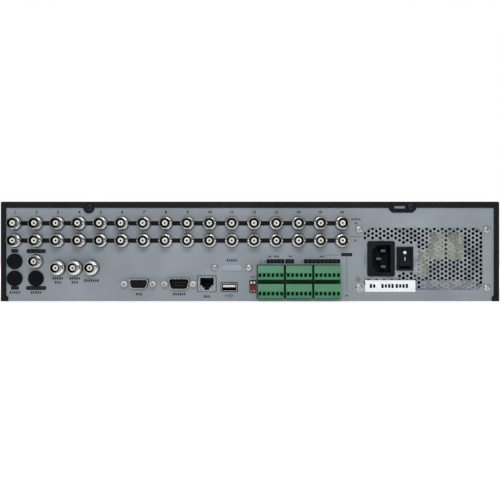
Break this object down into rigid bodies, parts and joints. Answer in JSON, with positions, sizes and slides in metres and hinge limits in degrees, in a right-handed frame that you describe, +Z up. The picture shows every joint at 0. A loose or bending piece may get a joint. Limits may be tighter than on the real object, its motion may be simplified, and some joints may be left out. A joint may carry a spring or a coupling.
{
  "type": "digital video recorder",
  "caption": "Rack-width video recorder: black sheet cover, grey connector panel with bayonet sockets, ports and green terminals, power inlet and rocker, front keys and jog dial.",
  "frame": {"origin": "centre of the flat base of the case", "axes": "+X towards the panel's left edge as seen from behind, +Y towards the connector panel, +Z up"},
  "size_m": [0.44, 0.4138, 0.088],
  "materials": {
    "galvanised_sheet": "zinc-coated sheet steel",
    "black_enamel": "fine-textured black powder coat",
    "grey_enamel": "fine-textured blue-grey powder coat",
    "black_screw": "black oxide",
    "zinc_screw": "bright zinc plate",
    "nickel_plate": "bright nickel plate",
    "white_insulator": "natural white moulding",
    "gold_contact": "gold flash",
    "black_moulding": "satin black moulding",
    "black_gloss": "polished black moulding",
    "black_rubber": "matt black rubber",
    "port_plastic": "satin moulding",
    "shield_steel": "tinned shield",
    "blue_plate": "pale blue passivated sheet",
    "red_plastic": "red moulding",
    "green_plastic": "green moulding",
    "dark_green_plastic": "green moulding in shade",
    "psu_steel": "galvanised sheet",
    "brown_board": "bare laminate",
    "green_board": "solder resist",
    "yellow_tape": "polyester tape",
    "brass_pin": "nickelled brass",
    "label_paper": "white label",
    "drive_casting": "bare casting",
    "loom_jacket": "cable jacket",
    "fascia_plastic": "fine-spark black moulding",
    "smoked_window": "smoked acrylic",
    "light_pipe": "clear moulding",
    "key_plastic": "satin grey moulding",
    "ring_plastic": "soft-touch ring"
  },
  "bodies": {
    "recorder": {"ac_inlet": "black_moulding", "ac_inlet_pins": "brass_pin", "ac_label": "label_paper", "base_chassis": "galvanised_sheet", "blank_plugs": "black_rubber", "blanking_plate": "blue_plate", "bnc_housings": "black_moulding", "bnc_insulators": "white_insulator", "bnc_shells": "nickel_plate", "board_parts": "black_moulding", "cover_screws": "black_screw", "dip_switch_body": "red_plastic", "drive_cage": "galvanised_sheet", "fan_frames": "black_moulding", "fascia_window": "smoked_window", "front_fascia": "fascia_plastic", "front_key_board": "green_board", "hard_disks": "drive_casting", "inner_screws": "zinc_screw", "jackscrews": "nickel_plate", "jog_bush": "brass_pin", "lan_jack": "shield_steel", "looms": "loom_jacket", "main_board": "green_board", "panel_screws": "zinc_screw", "port_inserts": "port_plastic", "port_shells": "nickel_plate", "psu_board": "brown_board", "psu_case": "psu_steel", "psu_cover": "psu_steel", "psu_windings": "yellow_tape", "rear_panel": "grey_enamel", "signal_contacts": "gold_contact", "standoffs": "brass_pin", "status_lights": "light_pipe", "switch_frame": "black_moulding", "terminal_headers": "dark_green_plastic", "top_cover": "black_enamel", "video_board": "green_board"},
    "power_rocker": {"power_rocker": "black_gloss"},
    "dip_slider_1": {"dip_slider_1": "white_insulator"},
    "dip_slider_2": {"dip_slider_2": "white_insulator"},
    "terminal_plug_1": {"terminal_plug_1": "green_plastic"},
    "terminal_plug_2": {"terminal_plug_2": "green_plastic"},
    "terminal_plug_3": {"terminal_plug_3": "green_plastic"},
    "terminal_plug_4": {"terminal_plug_4": "green_plastic"},
    "terminal_plug_5": {"terminal_plug_5": "green_plastic"},
    "terminal_plug_6": {"terminal_plug_6": "green_plastic"},
    "psu_fan_rotor": {"psu_fan_rotor": "black_moulding"},
    "case_fan_rotor": {"case_fan_rotor": "black_moulding"},
    "power_button": {"power_button": "key_plastic"},
    "key_up": {"key_up": "key_plastic"},
    "key_down": {"key_down": "key_plastic"},
    "key_left": {"key_left": "key_plastic"},
    "key_right": {"key_right": "key_plastic"},
    "key_enter": {"key_enter": "key_plastic"},
    "menu_key": {"menu_key": "key_plastic"},
    "play_key": {"play_key": "key_plastic"},
    "jog_dial": {"jog_dial": "key_plastic"},
    "shuttle_ring": {"shuttle_ring": "ring_plastic"}
  },
  "joints": [
    {"name": "power_rocker_tilt", "type": "hinge", "parent": "recorder", "child": "power_rocker", "pos_m": [-0.1369, 0.1905, 0.0376], "axis": [-1, 0, 0], "range_deg": [0, 24]},
    {"name": "dip_slider_1_slide", "type": "slide", "parent": "recorder", "child": "dip_slider_1", "axis": [0, 0, -1], "range_m": [0, 0.0024]},
    {"name": "dip_slider_2_slide", "type": "slide", "parent": "recorder", "child": "dip_slider_2", "axis": [0, 0, -1], "range_m": [0, 0.0024]},
    {"name": "terminal_plug_1_pull", "type": "slide", "parent": "recorder", "child": "terminal_plug_1", "axis": [0, 1, 0], "range_m": [0, 0.014]},
    {"name": "terminal_plug_2_pull", "type": "slide", "parent": "recorder", "child": "terminal_plug_2", "axis": [0, 1, 0], "range_m": [0, 0.014]},
    {"name": "terminal_plug_3_pull", "type": "slide", "parent": "recorder", "child": "terminal_plug_3", "axis": [0, 1, 0], "range_m": [0, 0.014]},
    {"name": "terminal_plug_4_pull", "type": "slide", "parent": "recorder", "child": "terminal_plug_4", "axis": [0, 1, 0], "range_m": [0, 0.014]},
    {"name": "terminal_plug_5_pull", "type": "slide", "parent": "recorder", "child": "terminal_plug_5", "axis": [0, 1, 0], "range_m": [0, 0.014]},
    {"name": "terminal_plug_6_pull", "type": "slide", "parent": "recorder", "child": "terminal_plug_6", "axis": [0, 1, 0], "range_m": [0, 0.014]},
    {"name": "psu_fan_spin", "type": "hinge", "parent": "recorder", "child": "psu_fan_rotor", "pos_m": [-0.1528, 0.103, 0.0376], "axis": [0, 1, 0], "continuous": true},
    {"name": "case_fan_spin", "type": "hinge", "parent": "recorder", "child": "case_fan_rotor", "pos_m": [-0.2051, -0.005, 0.044], "axis": [1, 0, 0], "continuous": true},
    {"name": "power_button_press", "type": "slide", "parent": "recorder", "child": "power_button", "axis": [0, 1, 0], "range_m": [0, 0.0008], "stiffness_N_per_m": 300, "springref_m": -0.001},
    {"name": "key_up_press", "type": "slide", "parent": "recorder", "child": "key_up", "axis": [0, 1, 0], "range_m": [0, 0.0008], "stiffness_N_per_m": 300, "springref_m": -0.001},
    {"name": "key_down_press", "type": "slide", "parent": "recorder", "child": "key_down", "axis": [0, 1, 0], "range_m": [0, 0.0008], "stiffness_N_per_m": 300, "springref_m": -0.001},
    {"name": "key_left_press", "type": "slide", "parent": "recorder", "child": "key_left", "axis": [0, 1, 0], "range_m": [0, 0.0008], "stiffness_N_per_m": 300, "springref_m": -0.001},
    {"name": "key_right_press", "type": "slide", "parent": "recorder", "child": "key_right", "axis": [0, 1, 0], "range_m": [0, 0.0008], "stiffness_N_per_m": 300, "springref_m": -0.001},
    {"name": "key_enter_press", "type": "slide", "parent": "recorder", "child": "key_enter", "axis": [0, 1, 0], "range_m": [0, 0.0008], "stiffness_N_per_m": 300, "springref_m": -0.001},
    {"name": "menu_key_press", "type": "slide", "parent": "recorder", "child": "menu_key", "axis": [0, 1, 0], "range_m": [0, 0.0008], "stiffness_N_per_m": 300, "springref_m": -0.001},
    {"name": "play_key_press", "type": "slide", "parent": "recorder", "child": "play_key", "axis": [0, 1, 0], "range_m": [0, 0.0008], "stiffness_N_per_m": 300, "springref_m": -0.001},
    {"name": "jog_spin", "type": "hinge", "parent": "recorder", "child": "jog_dial", "pos_m": [0.162, -0.2, 0.044], "axis": [0, -1, 0], "continuous": true},
    {"name": "shuttle_turn", "type": "hinge", "parent": "recorder", "child": "shuttle_ring", "pos_m": [0.162, -0.198, 0.044], "axis": [0, -1, 0], "range_deg": [-70, 70], "stiffness_Nm_per_rad": 0.01}
  ]
}
